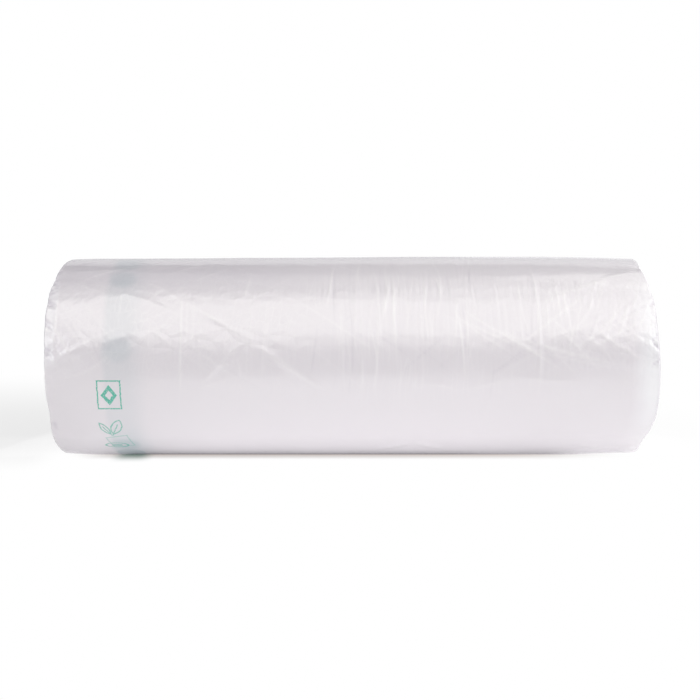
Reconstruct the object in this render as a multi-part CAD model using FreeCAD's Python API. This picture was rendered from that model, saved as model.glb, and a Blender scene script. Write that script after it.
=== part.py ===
"""Roll of clear plastic bags: a long web of flat bags wound round a cardboard core.

The roll lies on its side, along X, on the small flat that its own weight presses into it. The origin is at the
middle of that flat, with +Z up. The front is -Y. Millimetres throughout.

An angle round the roll starts at the front, where it is 0, and rises over the top, where it is 90, to the back,
where it is 180. The underside is -90.
"""

import FreeCAD
import Part

import math
import os

# The wound web
ROLL_LENGTH = 300.0  # the width of the film, so the length of the roll
ROLL_RADIUS = 51.5  # at the free end of the web, where the roll is fullest
FLAT_WIDTH = 18.0  # the flat that the roll rests on
FREE_END_STEP = 0.5  # how far the free end of the web stands above the turn below it
FREE_END_ANGLE = 232.0  # the free end lies low on the back
WIND_CLEARANCE = 0.05  # between the first turn and the core

# The core
CORE_BORE_RADIUS = 19.0
CORE_WALL = 2.0
CORE_INSET = 2.0  # how far each end of the core lies inside the web

# The ends, where the film is loose: each is (length of the taper, radius lost there, size of the rim's chamfer,
# length along which the underside lifts off, lift at the rim)
LEFT_END = (17.0, 0.8, 2.6, 16.0, 1.6)
RIGHT_END = (42.0, 0.9, 3.6, 60.0, 1.4)

# The turns, seen on the ends as one spiral line
TURN_PITCH = 5.0
TURN_GROOVE_WIDTH = 0.8
TURN_GROOVE_DEPTH = 1.0

# Stretches where the web hangs slack between two angles, and how far its middle falls inside the full radius
SLACK_STRETCHES = (
    (FREE_END_ANGLE, 172.0, 0.5),
    (172.0, 118.0, 0.7),
    (118.0, 64.0, 0.3),
    (64.0, 12.0, 0.2),
    (12.0, -42.0, 0.4),
)
SLACK_BELOW_FRONT = 1.3  # the same, from the last of those stretches to the flat
SLACK_BELOW_BACK = 0.2  # from the flat to the start of the last turn

# Folds in the outer bag: where each starts and ends, as (share of the half length, angle), then height and width.
# A fold that keeps its place along the roll was drawn tight round it. The others fan out from the slack spots.
FOLDS = {
    "girth_left": ((-0.57, 50.0), (-0.56, -10.0), 0.8, 3.2),
    "girth_middle": ((0.27, 66.0), (0.26, 20.0), 0.7, 3.0),
    "girth_right": ((0.61, 78.0), (0.60, -12.0), 0.8, 3.2),
    "rim_left": ((-0.95, 2.0), (-0.72, 30.0), 1.2, 6.0),
    "shoulder_left": ((-0.78, 52.0), (-0.59, 34.0), 1.0, 4.5),
    "tent_left": ((-0.34, 19.0), (-0.52, -6.0), 1.0, 4.5),
    "tent_right": ((-0.31, 18.0), (-0.07, -10.0), 1.0, 4.5),
    "draw_upper": ((0.36, 40.0), (0.57, 22.0), 1.0, 4.0),
    "draw_lower": ((0.38, 28.0), (0.88, 4.0), 1.1, 4.5),
    "shoulder_right": ((0.64, 41.0), (0.93, 72.0), 1.2, 6.0),
    "top_left": ((-0.86, 97.0), (-0.45, 86.0), 0.8, 5.0),
    "top_right": ((0.20, 88.0), (0.88, 108.0), 0.8, 5.0),
    "back_draw": ((-0.30, 140.0), (0.35, 165.0), 1.0, 4.5),
    "back_girth": ((-0.48, 196.0), (-0.46, 128.0), 0.8, 3.2),
}
FOLD_STATIONS = 7  # sections along each fold
FOLD_SINK = 0.6  # how far a fold's foot lies below the film

# Worked out from the sizes above
HALF_LENGTH = ROLL_LENGTH / 2
HALF_FLAT = FLAT_WIDTH / 2
AXIS_HEIGHT = math.sqrt(ROLL_RADIUS**2 - HALF_FLAT**2)
FLAT_ANGLE = math.degrees(math.asin(HALF_FLAT / ROLL_RADIUS))
CORE_RADIUS = CORE_BORE_RADIUS + CORE_WALL
WEB_BORE_RADIUS = CORE_RADIUS + WIND_CLEARANCE
LAST_TURN_START = FREE_END_ANGLE - 360.0
NARROW_CHAMFER = 1 - math.sqrt(0.5)  # where two chamfers meet on the quarter circle that they stand for


def point(x, angle, radius):
    """The point at a place along the roll, an angle round it and a distance from its axis."""
    turn = math.radians(angle)
    return FreeCAD.Vector(x, -radius * math.cos(turn), AXIS_HEIGHT + radius * math.sin(turn))


def turn_radius(angle):
    """The radius of the last turn, which shrinks evenly from the free end back to its start."""
    return ROLL_RADIUS - FREE_END_STEP * (FREE_END_ANGLE - angle) / 360.0


def stretches():
    """Every stretch of the last turn that isn't the flat, as (from angle, to angle, slack)."""
    front_edge = FLAT_ANGLE - 90.0
    back_edge = -90.0 - FLAT_ANGLE
    below_front = (SLACK_STRETCHES[-1][1], front_edge, SLACK_BELOW_FRONT)
    below_back = (back_edge, LAST_TURN_START, SLACK_BELOW_BACK)
    return SLACK_STRETCHES + (below_front, below_back)


def film_radius(angle):
    """The radius of the outer film at an angle, with its slack."""
    for start, end, slack in stretches():
        if end <= angle <= start:
            middle = (start + end) / 2
            half = (start - end) / 2
            return turn_radius(angle) - slack * (1 - ((angle - middle) / half) ** 2)
    return AXIS_HEIGHT / math.sin(math.radians(-angle))


def stretch_end(angle, edge_of_flat):
    """The end of a stretch: on the film, or at the edge of the flat."""
    if edge_of_flat:
        side = -HALF_FLAT if angle > -90.0 else HALF_FLAT
        return FreeCAD.Vector(0, side, 0)
    return point(0, angle, turn_radius(angle))


def web_section():
    """The outline of the wound web: arcs round the last turn, the flat, and the step at the free end."""
    runs = stretches()
    edges = []
    for number, (start, end, slack) in enumerate(runs):
        first = stretch_end(start, number == len(runs) - 1)
        last = stretch_end(end, number == len(runs) - 2)
        middle_angle = (start + end) / 2
        middle = point(0, middle_angle, turn_radius(middle_angle) - slack)
        edges.append(Part.Arc(first, middle, last).toShape())
        if number == len(runs) - 2:
            edges.append(Part.makeLine(last, FreeCAD.Vector(0, HALF_FLAT, 0)))
    step_foot = point(0, LAST_TURN_START, turn_radius(LAST_TURN_START))
    free_end = point(0, FREE_END_ANGLE, turn_radius(FREE_END_ANGLE))
    edges.append(Part.makeLine(step_foot, free_end))
    return Part.Face(Part.Wire(edges))


def rim_envelope():
    """The solid that holds the ends in: full in the middle, tapered towards each rim, and chamfered there twice."""
    left_taper, left_drop, left_rim = LEFT_END[:3]
    right_taper, right_drop, right_rim = RIGHT_END[:3]
    profile = [(-HALF_LENGTH, -left_drop - left_rim)]
    profile.append((-HALF_LENGTH + left_rim * NARROW_CHAMFER, -left_drop - left_rim * NARROW_CHAMFER))
    profile.append((-HALF_LENGTH + left_rim, -left_drop))
    profile.append((-HALF_LENGTH + left_taper, FREE_END_STEP))
    profile.append((HALF_LENGTH - right_taper, FREE_END_STEP))
    profile.append((HALF_LENGTH - right_rim, -right_drop))
    profile.append((HALF_LENGTH - right_rim * NARROW_CHAMFER, -right_drop - right_rim * NARROW_CHAMFER))
    profile.append((HALF_LENGTH, -right_drop - right_rim))
    corners = [FreeCAD.Vector(x, 0, AXIS_HEIGHT + ROLL_RADIUS + rise) for x, rise in profile]
    corners.append(FreeCAD.Vector(HALF_LENGTH, 0, AXIS_HEIGHT))
    corners.append(FreeCAD.Vector(-HALF_LENGTH, 0, AXIS_HEIGHT))
    face = Part.Face(Part.makePolygon(corners + corners[:1]))
    return face.revolve(FreeCAD.Vector(0, 0, AXIS_HEIGHT), FreeCAD.Vector(1, 0, 0), 360)


def lifted_underside(end, side):
    """The wedge to cut from under one end, where the loose film stands clear of the table."""
    length, lift = end[3:]
    rim = side * HALF_LENGTH
    corners = [
        FreeCAD.Vector(rim - side * length, -ROLL_RADIUS, 0),
        FreeCAD.Vector(rim, -ROLL_RADIUS, 0),
        FreeCAD.Vector(rim, -ROLL_RADIUS, lift),
    ]
    wedge = Part.Face(Part.makePolygon(corners + corners[:1]))
    return wedge.extrude(FreeCAD.Vector(0, 2 * ROLL_RADIUS, 0))


def taper_loss(x):
    """How much radius the film has lost to the taper at a place along the roll."""
    losses = [0.0]
    for end, from_rim in ((LEFT_END, x + HALF_LENGTH), (RIGHT_END, HALF_LENGTH - x)):
        taper, drop, rim = end[:3]
        slope = (drop + FREE_END_STEP) / (taper - rim)
        losses.append(slope * (taper - from_rim) - FREE_END_STEP)
    return max(losses)


def fold(start, end, height, width):
    """One fold of the outer bag: a low ridge along the film, highest in its middle."""
    sections = []
    for number in range(FOLD_STATIONS):
        share = number / (FOLD_STATIONS - 1)
        x = (start[0] + (end[0] - start[0]) * share) * HALF_LENGTH
        angle = start[1] + (end[1] - start[1]) * share
        radius = film_radius(angle) - taper_loss(x)
        along = FreeCAD.Vector(
            (end[0] - start[0]) * HALF_LENGTH,
            math.radians(end[1] - start[1]) * radius,
            0,
        ).normalize()
        rise = height * (0.25 + 0.75 * math.sin(math.pi * share))
        half_foot = width / 2 * (rise + FOLD_SINK) / rise * (0.4 + 0.6 * math.sin(math.pi * share))
        foot_turn = math.degrees(along.x * half_foot / radius)
        foot_shift = along.y * half_foot
        foot_radius = radius - FOLD_SINK
        corners = [
            point(x - foot_shift, angle + foot_turn, foot_radius),
            point(x, angle, radius + rise),
            point(x + foot_shift, angle - foot_turn, foot_radius),
        ]
        sections.append(Part.makePolygon(corners + corners[:1]))
    return Part.makeLoft(sections, True, True)


def half_ring(inner, outer, centre_shift, above, x, depth):
    """Half of a ring, above or below the roll's axis, standing on the plane at x."""
    side = 1 if above else -1
    centre = FreeCAD.Vector(x, centre_shift, AXIS_HEIGHT)

    def arc(radius):
        first = centre + FreeCAD.Vector(0, -radius, 0)
        top = centre + FreeCAD.Vector(0, 0, side * radius)
        last = centre + FreeCAD.Vector(0, radius, 0)
        return Part.Arc(first, top, last).toShape(), first, last

    outer_arc, outer_first, outer_last = arc(outer)
    inner_arc, inner_first, inner_last = arc(inner)
    edges = [outer_arc, Part.makeLine(outer_last, inner_last), inner_arc, Part.makeLine(inner_first, outer_first)]
    return Part.Face(Part.Wire(edges)).extrude(FreeCAD.Vector(depth, 0, 0))


def turn_grooves(end, side):
    """The spiral line between the turns on one end, as half rings about two centres."""
    drop, rim = end[1:3]
    grooves = []
    radius = WEB_BORE_RADIUS + TURN_PITCH / 2
    above = True
    while radius + TURN_PITCH / 2 < ROLL_RADIUS - drop - rim:
        shift = TURN_PITCH / 4 if above else -TURN_PITCH / 4
        inner = radius - TURN_GROOVE_WIDTH / 2
        outer = radius + TURN_GROOVE_WIDTH / 2
        grooves.append(half_ring(inner, outer, shift, above, side * HALF_LENGTH, -side * TURN_GROOVE_DEPTH))
        radius += TURN_PITCH / 2
        above = not above
    return grooves


def wound_bags():
    """The whole web of bags, wound tight: one solid, with its bore, its turns, its free end and its folds."""
    section = web_section()
    section.translate(FreeCAD.Vector(-HALF_LENGTH, 0, 0))
    web = section.extrude(FreeCAD.Vector(ROLL_LENGTH, 0, 0)).common(rim_envelope())
    web = web.fuse([fold(*values) for values in FOLDS.values()])
    start = FreeCAD.Vector(-HALF_LENGTH, 0, AXIS_HEIGHT)
    cuts = [Part.makeCylinder(WEB_BORE_RADIUS, ROLL_LENGTH, start, FreeCAD.Vector(1, 0, 0))]
    for end, side in ((LEFT_END, -1), (RIGHT_END, 1)):
        cuts.append(lifted_underside(end, side))
        cuts += turn_grooves(end, side)
    return web.cut(cuts)


def core_tube():
    """The cardboard tube that the web is wound on, open from end to end."""
    length = ROLL_LENGTH - 2 * CORE_INSET
    start = FreeCAD.Vector(-length / 2, 0, AXIS_HEIGHT)
    along = FreeCAD.Vector(1, 0, 0)
    return Part.makeCylinder(CORE_RADIUS, length, start, along).cut(
        Part.makeCylinder(CORE_BORE_RADIUS, length, start, along)
    )


def main():
    """Builds each piece, says what it measures and writes it to the parts folder."""
    os.makedirs("parts", exist_ok=True)
    pieces = {"wound_bags": wound_bags(), "core_tube": core_tube()}
    for name, shape in pieces.items():
        box = shape.BoundBox
        print(
            f"{name}: {len(shape.Solids)} solid, valid {shape.isValid()}, {shape.Volume / 1000:.1f} cm3, "
            f"x {box.XMin:.2f} to {box.XMax:.2f}, y {box.YMin:.2f} to {box.YMax:.2f}, "
            f"z {box.ZMin:.2f} to {box.ZMax:.2f}"
        )
        shape.exportStep(f"parts/{name}.step")


main()
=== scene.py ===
"""Dresses a roll of clear plastic bags: creased film, pinched rims, a print and a card core.

The film is worked out in millimetres, which become metres where vertices are placed. The studio, and the
finishes of the ends and the core, are in metres throughout. An angle round the roll starts at the front,
where it is 0, and rises over the top, where it is 90. The underside is -90.
"""
import logging
import math
import random
from dataclasses import dataclass
from enum import Enum

import bmesh
import bpy
import numpy as np
from mathutils import Matrix, Vector


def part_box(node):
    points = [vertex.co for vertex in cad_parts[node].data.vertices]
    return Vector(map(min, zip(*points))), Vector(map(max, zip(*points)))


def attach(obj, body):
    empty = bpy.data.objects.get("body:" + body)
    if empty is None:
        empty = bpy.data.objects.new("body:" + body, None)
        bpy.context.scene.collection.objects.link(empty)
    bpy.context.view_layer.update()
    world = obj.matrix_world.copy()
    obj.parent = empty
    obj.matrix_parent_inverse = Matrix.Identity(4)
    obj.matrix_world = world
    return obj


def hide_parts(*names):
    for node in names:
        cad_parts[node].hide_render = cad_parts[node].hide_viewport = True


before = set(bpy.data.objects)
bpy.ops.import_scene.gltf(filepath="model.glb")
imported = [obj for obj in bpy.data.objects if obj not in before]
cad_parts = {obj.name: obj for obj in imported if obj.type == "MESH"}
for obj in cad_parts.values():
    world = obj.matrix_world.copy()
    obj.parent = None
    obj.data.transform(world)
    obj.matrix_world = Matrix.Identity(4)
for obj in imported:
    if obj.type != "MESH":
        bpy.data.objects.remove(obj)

logging.basicConfig(level=logging.INFO, format="%(name)s: %(message)s")
LOG = logging.getLogger("roll")

MM = 0.001
WHITE = (1.0, 1.0, 1.0, 1.0)
Array = np.ndarray
Colour = tuple[float, float, float, float]
Curve = tuple[tuple[float, float], ...]
Pinch = tuple[float, float, float]
Socket = bpy.types.NodeSocket
Spot = tuple[float, float, float]


# -------------------------------------------------------------------------------- shader helpers


class MathOp(Enum):
    """The sums that the shader graphs use."""

    ADD = "ADD"
    SUBTRACT = "SUBTRACT"
    MULTIPLY = "MULTIPLY"
    DIVIDE = "DIVIDE"
    MAXIMUM = "MAXIMUM"
    MINIMUM = "MINIMUM"
    ABSOLUTE = "ABSOLUTE"
    SQRT = "SQRT"
    FRACT = "FRACT"
    ARCTAN2 = "ARCTAN2"


class Value:
    """An output in a shader graph, which is reckoned with as a number is."""

    def __init__(self, graph: "Graph", socket: Socket) -> None:
        """Keeps the output and the graph that it stands in."""
        self.graph = graph
        self.socket = socket

    def calc(self, op: MathOp, other: object = 0.0) -> "Value":
        """Returns the result of one sum, with this value first."""
        return self.graph.calc(op, self, other)

    def __add__(self, other: object) -> "Value":
        """Adds another value."""
        return self.calc(MathOp.ADD, other)

    def __sub__(self, other: object) -> "Value":
        """Takes another value off this one."""
        return self.calc(MathOp.SUBTRACT, other)

    def __rsub__(self, other: float) -> "Value":
        """Takes this value off a number."""
        return self.graph.calc(MathOp.SUBTRACT, other, self)

    def __mul__(self, other: object) -> "Value":
        """Multiplies by another value."""
        return self.calc(MathOp.MULTIPLY, other)

    def __truediv__(self, other: object) -> "Value":
        """Divides by another value."""
        return self.calc(MathOp.DIVIDE, other)

    def __abs__(self) -> "Value":
        """Drops the sign."""
        return self.calc(MathOp.ABSOLUTE)

    def most(self, other: object) -> "Value":
        """Returns the larger of two values."""
        return self.calc(MathOp.MAXIMUM, other)

    def least(self, other: object) -> "Value":
        """Returns the smaller of two values."""
        return self.calc(MathOp.MINIMUM, other)

    def fract(self) -> "Value":
        """Returns what is left of the value past its whole part."""
        return self.calc(MathOp.FRACT)

    def hypot(self, other: "Value") -> "Value":
        """Returns the distance that two values at right angles make."""
        return (self * self + other * other).calc(MathOp.SQRT)

    def step(self, low: float, high: float) -> "Value":
        """Eases the value.

        Args:
            low: where the result is 0.
            high: where the result is 1, which may be the lower of the two.

        Returns:
            The eased value.
        """
        made = self.graph.node("ShaderNodeMapRange", interpolation_type="SMOOTHSTEP")
        ends = (high, low, 1.0, 0.0) if low > high else (low, high, 0.0, 1.0)
        names = ("From Min", "From Max", "To Min", "To Max")
        self.graph.fill(made, {"Value": self, **dict(zip(names, ends))})
        return Value(self.graph, made.outputs[0])

    def between(self, low: float, full: float, last: float, high: float) -> "Value":
        """Returns 1 from full to last, eased off to 0 at low and at high."""
        return self.step(low, full) * self.step(high, last)


class Graph:
    """A node tree with short calls for the nodes that the finishes are made of."""

    def __init__(self, tree: bpy.types.NodeTree) -> None:
        """Keeps the tree to build in."""
        self.tree = tree

    def node(self, kind: str, **settings: object) -> bpy.types.Node:
        """Adds a node.

        Args:
            kind: the node's type name.
            settings: properties to set on it.

        Returns:
            The new node.
        """
        made = self.tree.nodes.new(kind)
        for name, value in settings.items():
            setattr(made, name, value)
        return made

    def feed(self, socket: Socket, value: object) -> None:
        """Links a socket to an output, or sets its constant.

        Args:
            socket: the input.
            value: an output, or a constant.
        """
        source = value.socket if isinstance(value, Value) else value
        if isinstance(source, Socket):
            self.tree.links.new(source, socket)
        else:
            socket.default_value = source

    def fill(self, node: bpy.types.Node, values: dict[str | int, object]) -> None:
        """Feeds a node's inputs, each by its name or number."""
        for name, value in values.items():
            self.feed(node.inputs[name], value)

    def calc(self, op: MathOp, first: object, second: object = 0.0) -> Value:
        """Adds one sum.

        Args:
            op: which sum.
            first: the first value or number.
            second: the second value or number.

        Returns:
            The result.
        """
        made = self.node("ShaderNodeMath", operation=op.value)
        self.fill(made, {0: first, 1: second})
        return Value(self, made.outputs[0])

    def blend(self, share: object, first: object, second: object) -> Value:
        """Mixes two colours.

        Args:
            share: how much of the second.
            first: the first colour.
            second: the second colour.

        Returns:
            The mixed colour.
        """
        made = self.node("ShaderNodeMix", data_type="RGBA")
        self.fill(made, {0: share, 6: first, 7: second})
        return Value(self, made.outputs[2])

    def noise(self, spot: Value, scale: float, detail: float = 2.0, rough: float = 0.5) -> Value:
        """Adds a noise texture.

        Args:
            spot: where it is read.
            scale: its scale.
            detail: its octaves.
            rough: how strong the finer octaves are.

        Returns:
            Its value.
        """
        made = self.node("ShaderNodeTexNoise")
        self.fill(made, {"Vector": spot, "Scale": scale, "Detail": detail, "Roughness": rough})
        return Value(self, made.outputs["Fac"])

    def vector(self, x: object, y: object, z: object = 0.0) -> Value:
        """Joins three values to a vector.

        Args:
            x: the first.
            y: the second.
            z: the third.

        Returns:
            The vector.
        """
        made = self.node("ShaderNodeCombineXYZ")
        self.fill(made, {0: x, 1: y, 2: z})
        return Value(self, made.outputs[0])

    def distance(self, spot: Value, middle: Spot) -> Value:
        """Measures how far a vector is from a place.

        Args:
            spot: the vector.
            middle: the place.

        Returns:
            The distance.
        """
        made = self.node("ShaderNodeVectorMath", operation="DISTANCE")
        self.fill(made, {0: spot, 1: middle})
        return Value(self, made.outputs["Value"])

    def parts(self, vector: object) -> tuple[Value, ...]:
        """Splits a vector into its three values.

        Args:
            vector: the vector or its output.

        Returns:
            The three values.
        """
        made = self.node("ShaderNodeSeparateXYZ")
        self.feed(made.inputs[0], vector)
        return tuple(Value(self, socket) for socket in made.outputs)

    def place(self) -> Value:
        """Returns the place on the piece itself, in metres."""
        return Value(self, self.node("ShaderNodeTexCoord").outputs["Object"])

    def painted(self, name: str) -> tuple[Value, ...]:
        """Returns the three values of a colour attribute of the mesh."""
        return self.parts(self.node("ShaderNodeAttribute", attribute_name=name).outputs["Color"])

    def group(self, tree: bpy.types.NodeTree) -> tuple[Value, ...]:
        """Places a group and returns its outputs in their order."""
        made = self.node("ShaderNodeGroup", node_tree=tree)
        return tuple(Value(self, socket) for socket in made.outputs)

    def bump(self, height: Value, strength: float, reach: float) -> Value:
        """Turns a height into a normal.

        Args:
            height: the height, from 0 to 1.
            strength: the share of its effect.
            reach: the height in metres that a change of 1 stands for.

        Returns:
            The normal.
        """
        made = self.node("ShaderNodeBump")
        self.fill(made, {"Strength": strength, "Distance": reach, "Height": height})
        return Value(self, made.outputs[0])

    def joined(self, kind: str, *inputs: object) -> bpy.types.Node:
        """Adds a node that joins shaders.

        Args:
            kind: the node's type name.
            inputs: what its inputs are fed, in their order.

        Returns:
            The new node.
        """
        made = self.node(kind)
        self.fill(made, dict(enumerate(inputs)))
        return made

    def surface(self, shader: bpy.types.Node, kind: str = "ShaderNodeOutputMaterial") -> None:
        """Joins a shader to the tree's output."""
        self.feed(self.node(kind).inputs["Surface"], shader.outputs[0])


def new_group(name: str, *outputs: str) -> tuple[bpy.types.NodeTree, Graph]:
    """Starts a shader node group.

    Args:
        name: the group's name.
        outputs: the names of the values that it gives.

    Returns:
        The group and a graph to build it with.
    """
    tree = bpy.data.node_groups.new(name, "ShaderNodeTree")
    for label in outputs:
        tree.interface.new_socket(label, in_out="OUTPUT", socket_type="NodeSocketFloat")
    return tree, Graph(tree)


def emptied(owner: bpy.types.Material | bpy.types.World) -> Graph:
    """Empties the node tree of a material or a world.

    Args:
        owner: the material or the world.

    Returns:
        A graph to build it with.
    """
    owner.use_nodes = True
    owner.node_tree.nodes.clear()
    return Graph(owner.node_tree)


def new_material(name: str) -> tuple[bpy.types.Material, Graph, bpy.types.Node]:
    """Starts a material.

    Args:
        name: the material's name.

    Returns:
        The material, a graph to build it with and its Principled node, joined to the output.
    """
    made = bpy.data.materials.new(name)
    graph = emptied(made)
    shader = graph.node("ShaderNodeBsdfPrincipled")
    graph.surface(shader)
    return made, graph, shader


def link(name: str, data: bpy.types.ID) -> bpy.types.Object:
    """Makes an object and puts it in the scene.

    Args:
        name: its name.
        data: its mesh, lamp or camera.

    Returns:
        The object.
    """
    made = bpy.data.objects.new(name, data)
    bpy.context.scene.collection.objects.link(made)
    return made


# -------------------------------------------------------------------------------- the roll's form


# A crease whitens in full from this height up and this width down, in millimetres: partly as bent film,
# partly as a painted highlight
CREST_HEIGHT = 0.2
CREST_WIDTH = 0.6
WIND_CLEARANCE = 0.05


def curve(places: Array, points: Curve) -> Array:
    """Reads a curve that is given as (place, value) points."""
    return np.interp(places, *zip(*points))


@dataclass(frozen=True)
class Crease:
    """One crease in the outer bag: a low ridge between two places, each as (place along the roll, angle)."""

    start: tuple[float, float]
    end: tuple[float, float]
    height: float
    width: float
    bow: float = 0.0
    lean: float = 0.0

    def press(self, along: Array, round_way: Array, radius: float) -> tuple[Array, Array]:
        """How far the crease lifts the film, and how white its bent crest is: partly bent film, partly a
        painted highlight.

        Args:
            along: places along the roll.
            round_way: distances round it from the front.
            radius: the roll's radius, which turns the crease's angles into distances.

        Returns:
            The lift and the whiteness at each place. A hollow crease has a whiteness below 0, which paints
            shade in it.
        """
        arc = math.radians(1.0) * radius
        run = self.end[0] - self.start[0]
        rise = (self.end[1] - self.start[1]) * arc
        length = math.hypot(run, rise)
        from_x = along - self.start[0]
        from_s = round_way - self.start[1] * arc
        share = (from_x * run + from_s * rise) / length**2
        off = (from_x * rise - from_s * run) / length
        inside = np.clip(share, 0.0, 1.0)
        off = off - self.bow * 4.0 * inside * (1.0 - inside)
        reach = self.width * (1.0 + self.lean * np.sign(off))
        fade = np.sin(math.pi * inside) ** 0.7
        lift = self.height * fade * np.exp(-np.abs(off / reach) ** 1.6)
        # The crest's whiteness is partly bent film and partly a painted highlight; below 0 it paints shade
        # in a hollow crease
        strength = math.copysign(min(1.0, abs(self.height) / CREST_HEIGHT), self.height)
        strength *= min(1.0, CREST_WIDTH / self.width) ** 1.5
        return lift, strength * fade * np.exp(-(off / min(CREST_WIDTH, self.width)) ** 2)


@dataclass(frozen=True)
class Pleats:
    """A run of near-parallel fine creases, spread by a fixed seed over part of the film."""

    along: tuple[float, float]
    low: float
    high: float
    count: int
    height: float
    width: float
    lean: float
    seed: int

    def creases(self) -> list[Crease]:
        """Spreads the run's creases.

        Returns:
            The creases, in their order along the roll.
        """
        dice = random.Random(self.seed)
        made = []
        for number in range(self.count):
            share = (number + dice.uniform(0.1, 0.9)) / self.count
            x = self.along[0] + (self.along[1] - self.along[0]) * share
            middle = dice.uniform(self.low, self.high)
            half = dice.uniform(0.18, 0.5) * (self.high - self.low)
            low = max(self.low - 4.0, middle - half)
            high = min(self.high + 6.0, middle + half)
            slant = (self.lean + dice.gauss(0.0, 0.06)) * (high - low)
            height = self.height * (0.15 + 1.1 * dice.random() ** 2) * dice.choice((1.0, 1.0, 1.0, -0.6))
            width = self.width * dice.uniform(0.7, 1.4)
            made.append(Crease((x, low), (x + slant, high), height, width, dice.gauss(0.0, 0.8)))
        return made


@dataclass(frozen=True)
class Swell:
    """A soft rise or hollow under the outer bag, as (place, angle), its height and its two radii."""

    place: tuple[float, float]
    height: float
    reach: tuple[float, float]

    def lift(self, along: Array, round_way: Array, radius: float) -> Array:
        """How far the swell lifts the film.

        Args:
            along: places along the roll.
            round_way: distances round it from the front.
            radius: the roll's radius.

        Returns:
            The lift at each place.
        """
        arc = math.radians(1.0) * radius
        x = (along - self.place[0]) / self.reach[0]
        s = (round_way - self.place[1] * arc) / self.reach[1]
        return self.height * np.exp(-(x**2 + s**2))


@dataclass(frozen=True)
class Unevenness:
    """Small soft rises and hollows, spread by a fixed seed over part of the film."""

    along: tuple[float, float]
    angles: tuple[float, float]
    count: int
    height: float
    seed: int

    def swells(self) -> list[Swell]:
        """Spreads the rises and hollows.

        Returns:
            The rises and hollows.
        """
        dice = random.Random(self.seed)
        made = []
        for _ in range(self.count):
            place = (dice.uniform(*self.along), dice.uniform(*self.angles))
            reach = (dice.uniform(4.0, 16.0), dice.uniform(4.0, 8.0))
            made.append(Swell(place, self.height * dice.choice((-1.0, 1.0)) * dice.uniform(0.4, 1.0), reach))
        return made


@dataclass(frozen=True)
class RollForm:
    """The wound web's own shape: its last turn, slack stretches, flat, tapers and rims.

    A slack stretch is (its high angle, its low angle, its depth). A taper or lift is (its reach, its depth).
    """

    length: float
    radius: float
    axis_height: float
    bore: float
    half_flat: float = 9.0
    free_end_step: float = 0.5
    free_end_angle: float = 232.0
    slack: tuple[Spot, ...] = (
        (232.0, 172.0, 0.5),
        (172.0, 118.0, 0.7),
        (118.0, 64.0, 0.16),
        (64.0, 12.0, 0.2),
        (12.0, -42.0, 0.4),
        (-42.0, -79.9, 1.3),
        (-100.1, -128.0, 0.2),
    )
    left_taper: tuple[float, float] = (17.0, 0.8)
    right_taper: tuple[float, float] = (40.0, 0.8)
    left_lift: tuple[float, float] = (16.0, 0.9)
    right_lift: tuple[float, float] = (60.0, 2.1)
    flat_reach: float = 10.1
    easing: int = 9

    def start_angle(self) -> float:
        """The angle at which the last turn starts, under the free end."""
        return self.free_end_angle - 360.0

    def turn_radius(self, angle: Array) -> Array:
        """The radius of the tight last turn at each angle."""
        return self.radius - self.free_end_step * (self.free_end_angle - angle) / 360.0

    def section(self, angle: Array) -> Array:
        """The radius of the film, with its slack and flat, eased where they meet.

        Args:
            angle: angles round the roll.

        Returns:
            The radius at each.
        """
        fine = np.linspace(self.start_angle(), self.free_end_angle, 1441)
        radius = self.turn_radius(fine)
        for high, low, depth in self.slack:
            share = (fine - (high + low) / 2) / ((high - low) / 2)
            radius -= np.where(np.abs(share) < 1.0, depth * (1.0 - share**2), 0.0)
        flat = self.axis_height / np.maximum(0.2, np.sin(np.radians(-fine)))
        radius = np.where(np.abs(fine + 90.0) < self.flat_reach, np.minimum(radius, flat), radius)
        kernel = np.hanning(2 * self.easing + 1)
        padded = np.pad(radius, self.easing, mode="edge")
        return np.interp(angle, fine, np.convolve(padded, kernel / kernel.sum(), mode="valid"))

    def taper(self, along: Array) -> Array:
        """The radius lost towards each rim.

        Args:
            along: places along the roll.

        Returns:
            The radius lost at each.
        """
        half = self.length / 2
        lost = np.zeros_like(along)
        for (reach, drop), from_rim in ((self.left_taper, along + half), (self.right_taper, half - along)):
            share = np.clip(1.0 - from_rim / reach, 0.0, 1.0)
            lost += drop * share**1.3
        return lost

    def underside(self, along: Array) -> Array:
        """How high the film's lowest point is above the floor.

        Args:
            along: places along the roll.

        Returns:
            The height at each.
        """
        half = self.length / 2
        lift = np.zeros_like(along)
        for (reach, rise), from_rim in ((self.left_lift, along + half), (self.right_lift, half - along)):
            lift += rise * np.clip(1.0 - from_rim / reach, 0.0, 1.0) ** 1.2
        return lift


# Where the film's rim ends, measured inwards from the roll's full length, by angle
LEFT_RIM = ((-128, 0.6), (-90, 0.2), (-66, 0.0), (-52, -0.1), (-40, 0.1), (-34, 0.4), (-23, 1.0),
            (-17, 0.4), (-11, 0.0), (10, 0.3), (32, -0.3), (50, 0.3), (58, 1.5), (70, 2.3), (78, 3.0),
            (90, 4.3), (110, 3.6), (160, 0.5), (232, 0.8))
RIGHT_RIM = ((-128, 2.0), (-90, 3.2), (-76, 2.9), (-66, 3.0), (-55, 3.7), (-48, 3.7), (-42, 3.1),
             (-36, 1.7), (-27, 0.3), (-15, -0.2), (0, 0.0), (10, 0.3), (21, 1.0), (32, 1.2), (44, 1.6),
             (53, 2.7), (60, 3.1), (70, 4.1), (78, 4.2), (90, 4.4), (110, 3.5), (160, 0.6), (200, 1.0),
             (232, 2.0))

# The pleats pinched into the rims: the angle of each, how far it leans and how deep it is
LEFT_PINCHES = ((79, 3, 0.5), (70, -3, 0.9), (63, 3, 0.5), (57, -3, 1.0), (50, 3, 0.5), (41, -2, 0.9),
                (28, -3, 0.8), (12, -3, 0.9), (-33, 3, 0.4))
RIGHT_PINCHES = ((58, 5, 0.4), (44, -5, 0.5), (31, 5, 0.6), (24, -6, 0.6), (13, 6, 0.35), (9, -4, 0.4))
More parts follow.
